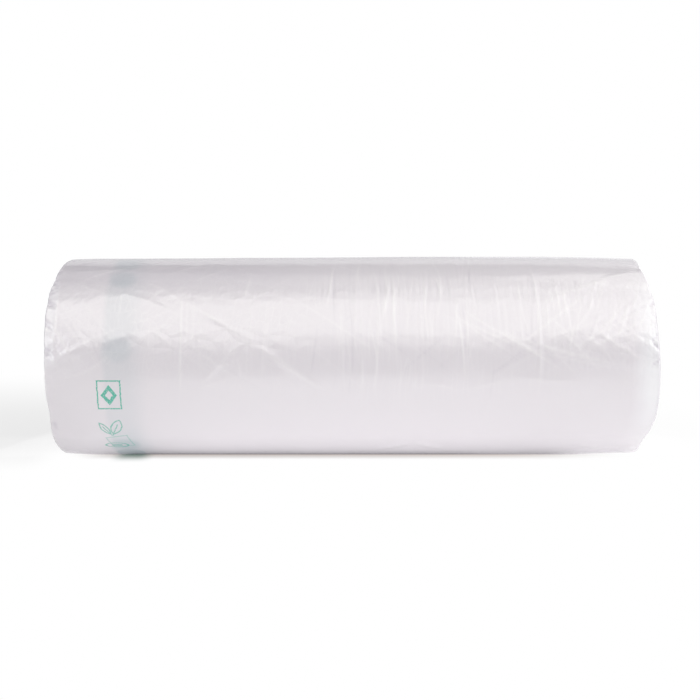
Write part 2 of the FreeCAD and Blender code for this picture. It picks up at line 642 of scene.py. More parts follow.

# By angle: how wide apart the rows of the mesh are, how much of the relief shows, how dark the painted
# shade line along the right rim is, and how much the thin film at each rim lets through, painted lighter
ROW_PACE = ((-128, 4.6), (-80, 4.6), (-70, 3.2), (-20, 2.6), (-12, 1.25), (98, 1.25), (110, 4.0), (232, 4.2))
RELIEF = ((50, 1.0), (64, 0.5), (102, 0.5), (120, 1.0))
RIM_SHADE_LINE = ((-60, 0.0), (-50, 0.1), (-20, 0.3), (24, 0.3), (40, 0.0))
LEFT_THIN = ((2, 0.0), (8, 0.4), (58, 0.4), (66, 0.0))
RIGHT_THIN = ((-56, 0.0), (-38, 0.35), (-12, 1.0), (20, 1.0), (40, 0.7), (68, 0.1))

# The bands of painted shade under the crown, as (angle, half width, depth), and how they fade along the roll
CROWN_SHADE_BANDS = ((62.0, 9.5, 0.46), (76.0, 9.0, 0.26))
CROWN_SHADE_FADE = ((-150, 1.0), (-60, 0.8), (10, 0.0))

# How crumpled the film is, by angle, and then along the roll for each kind of crumple
CRUMPLED = ((-128, 0.3), (-100, 0.05), (-22, 0.03), (0, 0.4), (16, 0.9), (50, 0.8), (64, 0.35), (100, 0.8),
            (232, 0.8))
CRUMPLED_BEHIND = ((100, 0.0), (120, 1.0))
UPRIGHT_CRUMPLE = ((-60, 0.25), (0, 0.6), (40, 1.0), (90, 0.8), (120, 0.4))
SLANTING_LEFT = ((-150, 1.0), (-118, 0.6), (-80, 0.0))
SLANTING_RIGHT = ((60, 0.0), (110, 0.35), (150, 0.5))
SOFT_CRUMPLE = ((-150, 1.0), (-115, 1.3), (-50, 1.2), (10, 0.6), (90, 0.8))

CREASES = (
    # The tight creases that run round the roll
    Crease((-84, -9), (-84, 46), 0.15, 0.6, 0.6),
    Crease((-81.5, 8), (-81, 44), 0.07, 0.6, 0.5),
    Crease((-49, 2), (-50, 44), 0.1, 0.9),
    Crease((-42, 0), (-41, 46), 0.08, 0.8),
    Crease((91, -12), (89, 78), 0.2, 0.9, 0.8),
    Crease((-114, 26), (-114, 52), 0.1, 0.8),
    Crease((-5, 0), (-6, 50), 0.08, 0.9),
    Crease((1, 8), (2, 66), 0.11, 1.0),
    Crease((5, -6), (4, 60), 0.08, 0.8),
    Crease((14, 30), (18, 64), 0.16, 0.9, 1.2),
    Crease((20, 26), (21, 58), 0.14, 0.9),
    Crease((-145.5, 14), (-145, 46), 0.1, 0.6, 0.3),
    # From the left rim to the shoulder
    Crease((-160, 1), (-104, 24), 0.95, 4.6, 0.6, -0.6),
    Crease((-149, 5), (-111, 27), 0.3, 1.1, -1.0, 0.2),
    Crease((-144, -2), (-116, 13), 0.31, 1.3, 2.6),
    Crease((-118, 8), (-98, 24), 0.24, 1.6, 1.0),
    Crease((-116, 49), (-84, 33), 0.37, 1.3, -1.2, 0.3),
    Crease((-103, 56), (-82, 40), 0.2, 1.2, -1.5),
    Crease((-141, 58), (-112, 45), 0.2, 1.8, 1.5),
    Crease((-112, 28), (-86, 40), 0.14, 1.2, 1.8),
    Crease((-110, 22), (-86, 31), 0.11, 1.1, 1.4),
    Crease((-84, 44), (-50, 22), 0.2, 1.4, 1.2),
    Crease((-80, 38), (-58, 24), 0.17, 1.3, -0.9),
    # The two tents
    Crease((-51, 19), (-74, -6), 0.31, 1.5, 0.9, 0.3),
    Crease((-51, 19), (-13, -9), 0.34, 1.2, -0.7, 0.3),
    Crease((-46, 14), (-16, -8), 0.2, 1.1, -0.4),
    Crease((-67, 4), (-54, 10), 0.2, 1.2, 0.6),
    Crease((-56, 10), (-54, -2), 0.17, 1.1),
    Crease((-76, -8), (-60, -2), 0.17, 1.3),
    # Drawn from the middle to the right rim
    Crease((54, 37), (82, 17), 0.11, 0.7, 1.0),
    Crease((52, 32), (86, 14), 0.1, 0.6, 1.2),
    Crease((50, 34), (78, 12), 0.1, 0.6, 1.4),
    Crease((82, 18), (130, 6), 0.1, 0.7, 0.8),
    Crease((84, 15), (128, 4), 0.08, 0.6, 0.6),
    Crease((76, 22), (124, 8), 0.1, 0.6, 1.0),
    Crease((70, 26), (92, 10), 0.12, 0.6, 0.8),
    Crease((93, 42), (118, 53), 0.2, 1.2, -0.6, 0.4),
    Crease((112, 51), (146, 71), 0.26, 1.2, -0.8, 0.4),
    Crease((96, 46), (140, 62), 0.1, 0.7, -0.6),
    Crease((120, 24), (146, 6), 0.08, 0.8, 0.9),
    Crease((112, 30), (140, 9), 0.07, 0.7, 0.9),
    Crease((128, 32), (147, 14), 0.08, 0.8, 0.6),
    Crease((118, 20), (134, 44), 0.11, 0.9, 0.8),
    Crease((126, 26), (142, 48), 0.1, 0.8, 0.6),
    Crease((106, 22), (118, 42), 0.12, 0.8, 0.7),
    # The soft upper and lower edges of the crinkled part
    Crease((35, -5), (52, -9), 0.2, 1.8, -1.0),
    Crease((52, -8), (76, -1), 0.2, 1.8, 1.2),
    Crease((78, 0), (112, -3), 0.17, 1.8, 1.4),
    Crease((-140, 66), (-95, 73), 0.17, 1.2, 0.8),
    Crease((-120, 78), (-52, 84), 0.17, 1.2, -0.8),
    Crease((12, -60), (30, -48), 0.27, 1.6, 0.6),
    Crease((30, -48), (46, -58), 0.24, 1.6, 0.6),
    Crease((110, -50), (136, -62), 0.2, 1.4, 0.6),
)

PLEATS = (
    Pleats((33, 60), 14, 64, 16, 0.12, 0.65, 0.02, 11),
    Pleats((-16, 34), -6, 66, 22, 0.12, 0.65, 0.02, 12),
    Pleats((62, 108), 16, 60, 24, 0.1, 0.6, -0.03, 13),
    Pleats((90, 144), 16, 56, 40, 0.09, 0.55, 0.3, 14),
    Pleats((94, 146), 4, 32, 26, 0.08, 0.6, -0.9, 15),
    Pleats((-80, -16), 4, 56, 12, 0.1, 0.7, 0.06, 16),
    Pleats((-10, 100), -10, 24, 22, 0.08, 0.65, 0.0, 17),
    Pleats((-60, 146), 66, 96, 30, 0.1, 1.2, -1.4, 18),
    Pleats((-146, -60), 60, 96, 14, 0.14, 1.2, 1.4, 19),
    Pleats((-146, 146), 104, 176, 50, 0.23, 1.3, 0.12, 20),
    Pleats((-146, 146), 170, 225, 30, 0.16, 1.3, -0.1, 21),
    Pleats((-144, -112), 10, 60, 12, 0.1, 0.75, -0.6, 22),
    Pleats((-114, -84), 14, 48, 12, 0.1, 0.75, 0.8, 23),
    Pleats((-80, 10), -4, 36, 12, 0.07, 0.8, -1.2, 24),
    Pleats((-70, 30), 10, 60, 12, 0.07, 0.8, 1.3, 25),
    Pleats((20, 100), 4, 50, 14, 0.08, 0.8, 1.1, 26),
    Pleats((10, 110), 2, 40, 14, 0.08, 0.8, -1.3, 27),
    Pleats((-6, 78), 4, 70, 20, 0.14, 0.55, 0.0, 29),
    Pleats((64, 148), 4, 44, 16, 0.12, 0.8, 1.6, 28),
)

SWELLS = (
    Swell((-128, 24), 0.4, (18, 9)),
    Swell((66, 98), 1.55, (100, 26)),
    Swell((-118, 98), -0.5, (34, 24)),
    Swell((-139, 11), 0.4, (15, 7)),
    Swell((-108, 20), 0.2, (14, 6)),
    Swell((-112, 0), -0.12, (12, 7)),
    Swell((-98, 38), -0.24, (14, 8)),
    Swell((-97, 9), 0.26, (16, 7)),
    Swell((-66, 10), 0.24, (14, 10)),
    Swell((-36, 6), 0.2, (16, 9)),
    Swell((0, 44), 0.16, (30, 10)),
    Swell((64, 12), 0.16, (22, 9)),
    Swell((104, 22), 0.18, (18, 12)),
    Swell((128, 40), -0.16, (14, 10)),
    Swell((134, 10), 0.14, (12, 9)),
    Swell((40, 84), 0.2, (30, 7)),
    Swell((-20, 150), 0.4, (40, 16)),
    Swell((70, 190), 0.32, (40, 14)),
    Swell((-90, 130), -0.24, (30, 14)),
)

UNEVENNESS = (
    Unevenness((-146, 146), (2, 66), 80, 0.1, 31),
    Unevenness((-146, 146), (66, 100), 50, 0.16, 32),
    Unevenness((-146, 146), (100, 230), 120, 0.2, 33),
    Unevenness((-146, 146), (-70, 2), 40, 0.05, 34),
)


@dataclass
class WoundBags:
    """The wound web of bags: the outer film with its creases and rims, and the turns' edges on both ends."""

    form: RollForm
    columns: int = 560
    rim_rings: int = 5
    end_rings: int = 19
    rows: int = 164
    rim: float = 0.9
    pinch_reach: float = 5.0
    end_inset: float = 0.6
    turn_pitch: float = 5.0
    turn_depth: float = 1.0
    first_turn: float = 22.3
    last_turn: float = 45.5
    turn_fade: float = 1.5
    seam_gap: float = 0.9

    def stations(self) -> int:
        """The number of rings of vertices along the closed profile."""
        return self.columns + 2 * (self.rim_rings + self.end_rings)

    def row_angles(self) -> Array:
        """Spaces the rows of the mesh, closer together where the film is creased.

        Returns:
            The angle of each row.
        """
        fine = np.linspace(self.form.start_angle(), self.form.free_end_angle, 2000)
        run = np.cumsum(1.0 / curve(fine, ROW_PACE))
        run = (run - run[0]) / (run[-1] - run[0])
        return np.interp(np.linspace(0.0, 1.0, self.rows), run, fine)

    def creased(self, along: Array, angle: Array) -> tuple[Array, Array]:
        """The relief that creases and swells give the outer film.

        Args:
            along: places along the roll.
            angle: their angles.

        Returns:
            The lift at each place, and how white its crests are, partly as a painted highlight. Below 0 is
            painted shade, in hollows and in the bands under the crown.
        """
        radius = self.form.radius
        round_way = np.radians(angle) * radius
        lift = np.zeros_like(along)
        white = np.zeros_like(along)
        creases = list(CREASES) + [crease for run in PLEATS for crease in run.creases()]
        for crease in creases + self.pinches():
            raised, tone = crease.press(along, round_way, radius)
            lift += raised
            white += tone
        swells = list(SWELLS) + [swell for patch in UNEVENNESS for swell in patch.swells()]
        for swell in swells:
            lift += swell.lift(along, round_way, radius)
        # Painted shade: darker bands under the crown, over the left part of the roll
        deep = np.zeros_like(along)
        for middle, reach, depth in CROWN_SHADE_BANDS:
            deep += depth * np.exp(-(((angle - middle) / reach) ** 2))
        return lift * curve(angle, RELIEF), white - deep * curve(along, CROWN_SHADE_FADE)

    def pinches(self) -> list[Crease]:
        """Lays out the short pleats that the rims are pinched into.

        Returns:
            The pleats, as creases.
        """
        half = self.form.length / 2
        made = []
        for way, pinches in ((-1.0, LEFT_PINCHES), (1.0, RIGHT_PINCHES)):
            for angle, lean, depth in pinches:
                outer = (way * (half + self.pinch_reach), angle - lean)
                inner = (way * (half - self.pinch_reach), angle + lean)
                made.append(Crease(outer, inner, -depth, 0.75))
        return made

    def nicks(self, angle: Array, pinches: tuple[Pinch, ...]) -> Array:
        """How far the pinches draw a rim in.

        Args:
            angle: angles round the roll.
            pinches: the rim's own pinches.

        Returns:
            The distance at each angle.
        """
        drawn = np.zeros_like(angle)
        for middle, lean, depth in pinches:
            drawn += 0.3 * depth * np.exp(-(((angle - middle + lean) / 1.4) ** 2))
        return drawn

    def notch_shade(self, x: Array, angle: Array) -> Array:
        """The painted shade in the pinched wedges, widest at the rim, and the painted dark line along the
        right rim.

        Args:
            x: places along the roll.
            angle: their angles.

        Returns:
            The darkness at each place.
        """
        half = self.form.length / 2
        dark = np.zeros_like(angle)
        for way, strong, pinches in ((-1.0, 1.5, LEFT_PINCHES), (1.0, 0.55, RIGHT_PINCHES)):
            inwards = np.clip((half - way * x) / self.pinch_reach, 0.0, 1.0)
            for middle, lean, depth in pinches:
                off = angle - middle + lean * (1.0 - inwards)
                wedge = np.exp(-((off / (0.5 + 1.9 * depth * (1.0 - inwards))) ** 2))
                dark = np.maximum(dark, wedge * min(1.0, strong * depth) * (1.0 - inwards) ** 0.5)
        from_rim = half - curve(angle, RIGHT_RIM) - x
        return np.maximum(dark, np.clip(1.2 - from_rim / 1.5, 0.0, 1.0) * curve(angle, RIM_SHADE_LINE))

    def thin_rim_light(self, along: Array, angle: Array) -> Array:
        """The thin edge of the film, painted lighter where light comes through it.

        Args:
            along: places along the roll.
            angle: their angles.

        Returns:
            How far each place lies in it, from 0 to 1.
        """
        half = self.form.length / 2
        ragged = 0.3 * np.sin(angle * 0.41) + 0.5 * np.sin(angle * 0.17 + 1.0)
        left = np.clip(-half + 5.6 + ragged - along, 0.0, 1.0)
        right = np.clip((along - half + 14.0 + ragged) / 9.0, 0.0, 1.0)
        return np.maximum(left * curve(angle, LEFT_THIN), right * curve(angle, RIGHT_THIN))

    def crumple(self, along: Array, angle: Array) -> Array:
        """How crinkled the film is, by creases round the roll, slanting creases and soft crumple.

        Args:
            along: places along the roll.
            angle: their angles.

        Returns:
            The strength of each of the three at each place.
        """
        band = curve(angle, CRUMPLED)
        behind = 0.7 * curve(angle, CRUMPLED_BEHIND)
        sides = np.maximum(curve(along, SLANTING_RIGHT), curve(along, SLANTING_LEFT) * 0.7)
        upright = np.maximum(band * curve(along, UPRIGHT_CRUMPLE), behind)
        slanting = np.maximum(band * sides, behind * 0.6)
        return np.stack((upright, slanting, band * curve(along, SOFT_CRUMPLE)), axis=-1)

    def turn_line(self, radius: Array, angle: Array) -> Array:
        """How deep the line between the turns lies on the ends: one spiral, outwards from the core.

        Args:
            radius: each place's distance from the axis.
            angle: each place's angle.

        Returns:
            The depths in millimetres.
        """
        turns = (radius - self.first_turn) / self.turn_pitch - angle / 360.0
        inner = np.clip((radius - self.first_turn) / self.turn_fade + 1.0, 0.0, 1.0)
        outer = np.clip((self.last_turn - radius) / self.turn_fade, 0.0, 1.0)
        return self.turn_depth * inner * outer * (0.5 + 0.5 * np.cos(2.0 * math.pi * turns))

    def end_face(self, radius: Array, angle: Array, inwards: Array, end: Array, way: Array) -> Array:
        """Where the faces of the two ends lie: ragged at the rim, and level with slight waves further in.

        Args:
            radius: each place's distance from the axis.
            angle: each place's angle.
            inwards: how far in from the rim it is, from 0 to 1 at the bore.
            end: where the rim lies along the roll at that angle.
            way: -1 on the left end and 1 on the right.

        Returns:
            The places along the roll.
        """
        wave = 0.25 * np.sin(radius * 2.1 + np.radians(angle) + way)
        wave += 0.3 * np.sin(radius * 0.45 + way * 2.0)
        wave *= np.sin(math.pi * np.clip(inwards * 1.15, 0.0, 1.0))
        level = way * (self.form.length / 2 - self.end_inset) + way * wave
        return end + (level - end) * np.clip(inwards * 1.1, 0.0, 1.0) - way * self.turn_line(radius, angle)

    def tones(self, x: Array, along: Array, angle: Array, white: Array) -> Array:
        """How white, how dark and how thin the film looks.

        The white is partly a painted highlight, the dark is painted shade, and the thin rim is painted
        lighter for the light that comes through it.

        Args:
            x: where each place lies along the roll.
            along: its distance along the film.
            angle: its angle.
            white: how white its creases make it.

        Returns:
            The three shares at each place.
        """
        # Painted shade: hollow creases, the bands under the crown, the pinched wedges and the rim line
        dark = np.maximum(np.clip(-white, 0.0, 1.0), self.notch_shade(x, angle))
        # The thin rim is painted lighter, for the light that comes through it
        thin = self.thin_rim_light(along, angle) * (1.0 - dark)
        return np.stack((np.clip(white, 0.0, 1.0) * (1.0 - dark), dark, thin), axis=-1)

    def place(self, station: Array, row: Array) -> dict[str, Array]:
        """Works out where each vertex of the closed profile goes.

        Args:
            station: each vertex's ring along the profile.
            row: each vertex's row round the roll.

        Returns:
            Each vertex's position in millimetres, distance along the film, angle, crumple and tone.
        """
        form = self.form
        half = form.length / 2
        rim = self.rim
        angle = self.row_angles()[row]
        left_end = -half + curve(angle, LEFT_RIM) + self.nicks(angle, LEFT_PINCHES)
        right_end = half - curve(angle, RIGHT_RIM) - self.nicks(angle, RIGHT_PINCHES)

        first = self.rim_rings + self.end_rings
        share = np.clip((station - first) / (self.columns - 1), 0.0, 1.0)
        along = left_end + rim + (right_end - left_end - 2.0 * rim) * share
        lift, white = self.creased(along, angle)
        outer = form.section(angle) - form.taper(along) + lift

        left_side = share <= 0.0
        end = np.where(left_side, left_end, right_end)
        way = np.where(left_side, -1.0, 1.0)
        steps_out = np.where(left_side, first - station, station - (first + self.columns - 1))
        turn = np.clip(steps_out / self.rim_rings, 0.0, 1.0) * (math.pi / 2)
        on_rim = steps_out > 0
        radius = np.where(on_rim, outer - rim * (1.0 - np.cos(turn)), outer)
        x = np.where(on_rim, end - way * rim * (1.0 - np.sin(turn)), along)

        inwards = np.clip((steps_out - self.rim_rings) / (self.end_rings - 1), 0.0, 1.0)
        on_end = steps_out > self.rim_rings
        edge = outer - rim
        face_radius = edge + (form.bore - edge) * inwards
        radius = np.where(on_end, face_radius, radius)
        x = np.where(on_end, self.end_face(face_radius, angle, inwards, end, way), x)

        # The first and last rows share one angle. Inside the ends they are parted, so that no face collapses
        seam = self.seam_gap * ((row == 0) * 1.0 - (row == self.rows - 1) * 1.0)
        turn_angle = np.radians(angle + seam * np.clip(inwards * 6.0, 0.0, 1.0))
        y = -radius * np.cos(turn_angle)
        z = form.axis_height + radius * np.sin(turn_angle)
        low = np.where(steps_out > self.rim_rings + 2, -1.0, form.underside(x))
        z = np.where(z < low, low, z)

        outside = (steps_out <= self.rim_rings)[:, None]
        return {
            "spot": np.stack((x, y, z), axis=-1),
            "along": along + way * (rim * turn + np.where(on_end, edge - face_radius, 0.0)) * on_rim,
            "angle": angle,
            "crumple": self.crumple(along, angle) * outside,
            "tone": self.tones(x, along, angle, white) * outside,
        }

    def ring(self) -> bpy.types.Mesh:
        """Makes the ring of quads that the web is shaped from: a circle of stations, spun round the axis.

        Returns:
            The mesh, with each vertex's station kept in an attribute.
        """
        bm = bmesh.new()
        station = bm.verts.layers.int.new("station")
        middle = self.form.radius * 0.7
        size = self.form.radius * 0.25
        stand = Matrix.Translation((0.0, -middle, 0.0)) @ Matrix.Rotation(math.pi, 4, "Z")
        bmesh.ops.create_circle(bm, cap_ends=False, segments=self.stations(), radius=size, matrix=stand)
        bm.verts.ensure_lookup_table()
        for number, vert in enumerate(bm.verts):
            vert[station] = number
        bmesh.ops.spin(
            bm,
            geom=bm.verts[:] + bm.edges[:],
            cent=(0.0, 0.0, 0.0),
            axis=(1.0, 0.0, 0.0),
            angle=-2.0 * math.pi,
            steps=self.rows,
            use_merge=True,
            use_duplicate=False,
        )
        mesh = bpy.data.meshes.new("wound_bags")
        bm.to_mesh(mesh)
        bm.free()
        return mesh

    def build(self) -> bpy.types.Object:
        """Builds the web.

        Returns:
            The finished object, without its materials.
        """
        mesh = self.ring()
        count = len(mesh.vertices)
        station = np.zeros(count, dtype=np.int32)
        mesh.attributes["station"].data.foreach_get("value", station)
        flat = np.zeros(count * 3)
        mesh.vertices.foreach_get("co", flat)
        raw = flat.reshape(-1, 3)
        swung = np.degrees(np.arctan2(raw[:, 2], -raw[:, 1])) % 360.0
        row = np.rint(swung / (360.0 / self.rows)).astype(int) % self.rows
        placed = self.place(station, row)
        mesh.vertices.foreach_set("co", (placed["spot"] * MM).ravel())
        self.unroll(mesh, station, placed["along"], placed["angle"])
        for name in ("crumple", "tone"):
            shade = mesh.attributes.new(name, "FLOAT_COLOR", "POINT")
            shade.data.foreach_set("color", np.hstack((placed[name], np.ones((count, 1)))).ravel())
        mesh.attributes.remove(mesh.attributes["station"])
        mesh.polygons.foreach_set("use_smooth", np.ones(len(mesh.polygons), dtype=bool))
        mesh.update()
        bm = bmesh.new()
        bm.from_mesh(mesh)
        bmesh.ops.recalc_face_normals(bm, faces=bm.faces[:])
        bm.to_mesh(mesh)
        bm.free()
        return link("film_roll", mesh)

    def unroll(self, mesh: bpy.types.Mesh, station: Array, along: Array, angle: Array) -> None:
        """Lays the map out as shares of the length and of a turn, and tells the outer film from the ends.

        Args:
            mesh: the web's mesh, all quads.
            station: each vertex's ring along the profile.
            along: each vertex's distance along the film from the middle.
            angle: each vertex's angle.
        """
        corners = np.zeros(len(mesh.loops), dtype=np.int32)
        mesh.loops.foreach_get("vertex_index", corners)
        quads = corners.reshape(-1, 4)
        turn = (angle[quads] - self.form.start_angle()) / 360.0
        wraps = turn.max(axis=1) - turn.min(axis=1) > 0.5
        turn = np.where(wraps[:, None] & (turn < 0.5), turn + 1.0, turn)
        layer = mesh.uv_layers.new(name="film")
        shares = np.stack((along[quads] / self.form.length + 0.5, turn), axis=-1)
        layer.data.foreach_set("uv", shares.ravel())
        where = station[quads]
        last = self.stations() - self.end_rings
        inner = (where.min(axis=1) < self.end_rings) | (where.max(axis=1) >= last)
        mesh.polygons.foreach_set("material_index", inner.astype(np.int32))


# -------------------------------------------------------------------------------- finishes


@dataclass(frozen=True)
class FilmMap:
    """How the film's own map reads in millimetres: the roll's length, radius and starting angle."""

    length: float
    radius: float
    start_angle: float

    def build(self) -> bpy.types.NodeTree:
        """Turns the map into distances along the roll and round it from the front.

        Returns:
            The group that gives them.
        """
        tree, graph = new_group("film distances", "Along", "Round")
        u, v, _ = graph.parts(graph.node("ShaderNodeUVMap", uv_map="film").outputs[0])
        arc = math.radians(1.0) * self.radius
        turned = v * (360.0 * arc) + self.start_angle * arc
        graph.fill(graph.node("NodeGroupOutput"), {"Along": (u - 0.5) * self.length, "Round": turned})
        return tree


@dataclass(frozen=True)
class Facets:
    """One layer of flat facets in crumpled film: width and height in millimetres, turn, slope and seed."""

    wide: float
    tall: float
    turn: float
    slope: float
    seed: float

    def edge_distance(self, bent: Value, turned: Value) -> Value:
        """How far each place is from the nearest edge between facets.

        Args:
            bent: the distance along the roll, a little warped.
            turned: the distance round it.

        Returns:
            The distance, as a share of the facets' width.
        """
        graph = bent.graph
        cos, sin = math.cos(math.radians(self.turn)), math.sin(math.radians(self.turn))
        across = bent * (cos / self.wide) + turned * (-sin / self.wide)
        upward = bent * (sin / self.tall) + turned * (cos / self.tall)
        cells = graph.node("ShaderNodeTexVoronoi", voronoi_dimensions="2D", feature="DISTANCE_TO_EDGE")
        graph.fill(cells, {"Vector": graph.vector(across + self.seed, upward), "Scale": 1.0})
        return Value(graph, cells.outputs["Distance"])


@dataclass(frozen=True)
class Crinkle:
    """The fine crumple of the film: facets with straight edges, too small for the mesh."""

    upright: Facets = Facets(3.8, 52.0, 0.0, 0.08, 3.0)
    slanting: Facets = Facets(4.2, 19.0, 38.0, 0.055, 11.0)
    crossing: Facets = Facets(5.0, 22.0, -34.0, 0.05, 23.0)
    loose: Facets = Facets(11.0, 7.0, 8.0, 0.028, 31.0)
    fine: Facets = Facets(2.6, 5.0, 20.0, 0.03, 47.0)
    roof: float = 0.4
    edge: float = 0.35
    warp: float = 6.0

    def build(self, distances: bpy.types.NodeTree) -> bpy.types.NodeTree:
        """Builds the crumple.

        Args:
            distances: the group that reads the film's map.

        Returns:
            The group that gives its height in millimetres and the whiteness of its edges, partly a painted
            highlight.
        """
        tree, graph = new_group("film crinkle", "Height", "Edges")
        along, turned = graph.group(distances)
        bent = along + (graph.noise(graph.vector(along, turned), 0.03, 1.0) - 0.5) * self.warp
        upright, slant, loose = graph.painted("crumple")
        layers = (
            (self.upright, upright),
            (self.slanting, slant),
            (self.crossing, slant),
            (self.loose, loose),
            (self.fine, loose),
        )
        height: object = 0.0
        edges: object = 0.0
        for facets, share in layers:
            away = facets.edge_distance(bent, turned)
            height = away.least(self.roof) * (facets.wide * facets.slope) * share + height
            shown = graph.noise(graph.vector(along, turned, facets.seed), 0.06).step(0.42, 0.66)
            # Edge whiteness: partly bent film, partly a painted highlight where the facets meet
            line = away.step(self.edge / facets.wide, 0.0) * (shown * share)
            edges = line * min(1.0, facets.slope * 13.0) + edges
        graph.fill(graph.node("NodeGroupOutput"), {"Height": height, "Edges": edges})
        return tree


@dataclass(frozen=True)
class FilmFinish:
    """The milky stack of clear film, with a faint print that shows through from the turns below."""

    colour: Colour = (0.82, 0.783, 0.824, 1.0)
    # crest whitens bent film and also paints a highlight; the colour after it paints shade in hollows and
    # pinches; rim paints the light that comes through the thin edge
    crest: Colour = (0.95, 0.93, 0.94, 1.0)
    painted_shade: Colour = (0.52, 0.48, 0.56, 1.0)
    rim: Colour = (0.935, 0.93, 0.965, 1.0)
    ghost: Colour = (0.53, 0.60, 0.64, 1.0)
    ink: Colour = (0.05, 0.47, 0.35, 1.0)
    roughness: float = 0.16
    # The blots in the band of print below: distance round the roll, half height and depth. The last, near
    # the foot, is deepened to paint the shade there as well
    blots: tuple[Spot, ...] = (
        (69.0, 9.0, 0.26),
        (53.0, 7.0, 0.36),
        (12.5, 7.0, 0.2),
        (-47.0, 8.0, 0.4),
        (-64.0, 9.0, 1.6),
    )

    def build(self, distances: bpy.types.NodeTree, crinkle: bpy.types.NodeTree) -> bpy.types.Material:
        """Builds the finish.

        Args:
            distances: the group that reads the film's map.
            crinkle: the group of fine crinkles.

        Returns:
            The material.
        """
        made, graph, shader = new_material("milky_film")
        along, turned = graph.group(distances)
        height, edges = graph.group(crinkle)
        (ink,) = graph.group(PrintMarks().build(distances))
        # The tone attribute gives crest white, partly a painted highlight, then painted shade, then the thin
        # rim painted lighter
        crest, painted_shade, rim = graph.painted("tone")
        white = (crest + edges * 0.6).least(1.0)
        tone = graph.blend(self.ghost_band(along, turned), self.colour, self.ghost)
        tone = graph.blend(rim * 0.9, tone, self.rim)
        tone = graph.blend(painted_shade * 0.7, tone, self.painted_shade)
        tone = graph.blend(white * 0.6, tone, self.crest)
        rough = graph.noise(graph.vector(along, turned), 0.12, 3.0)
        settings = {
            "Base Color": graph.blend(ink, tone, self.ink),
            "Roughness": rough * 0.1 + (self.roughness - 0.05),
            "IOR": 1.6,
            "Specular IOR Level": 1.0,
            "Subsurface Weight": 0.2,
            "Subsurface Radius": (1.0, 0.95, 1.0),
            "Subsurface Scale": 0.004,
            "Coat Weight": 0.4,
            "Coat Roughness": 0.1,
            "Normal": graph.bump(height, 1.0, MM),
        }
        graph.fill(shader, settings)
        return made

    def ghost_band(self, along: Value, turned: Value) -> Value:
        """The print that shows through: a soft band round the roll, with darker blots.

        The lowest blot, near the foot, is deepened to paint the shade there as well.

        Args:
            along: the distance along the roll.
            turned: the distance round it.

        Returns:
            Its strength.
        """
        graph = along.graph
        across = along + graph.noise(graph.vector(along, turned), 0.05) * 6.0
        band = across.between(-120.0, -116.0, -109.0, -95.0)
        strength = band * (turned.step(-24.0, -50.0) * 0.4 + 0.26)
        near_x = (along + 114.0) / 7.5
        for middle, size, depth in self.blots:
            near_s = (turned - middle) / size
            far = near_x * near_x + near_s * near_s
            strength = strength + far.step(1.3, 0.1) * depth
        return strength


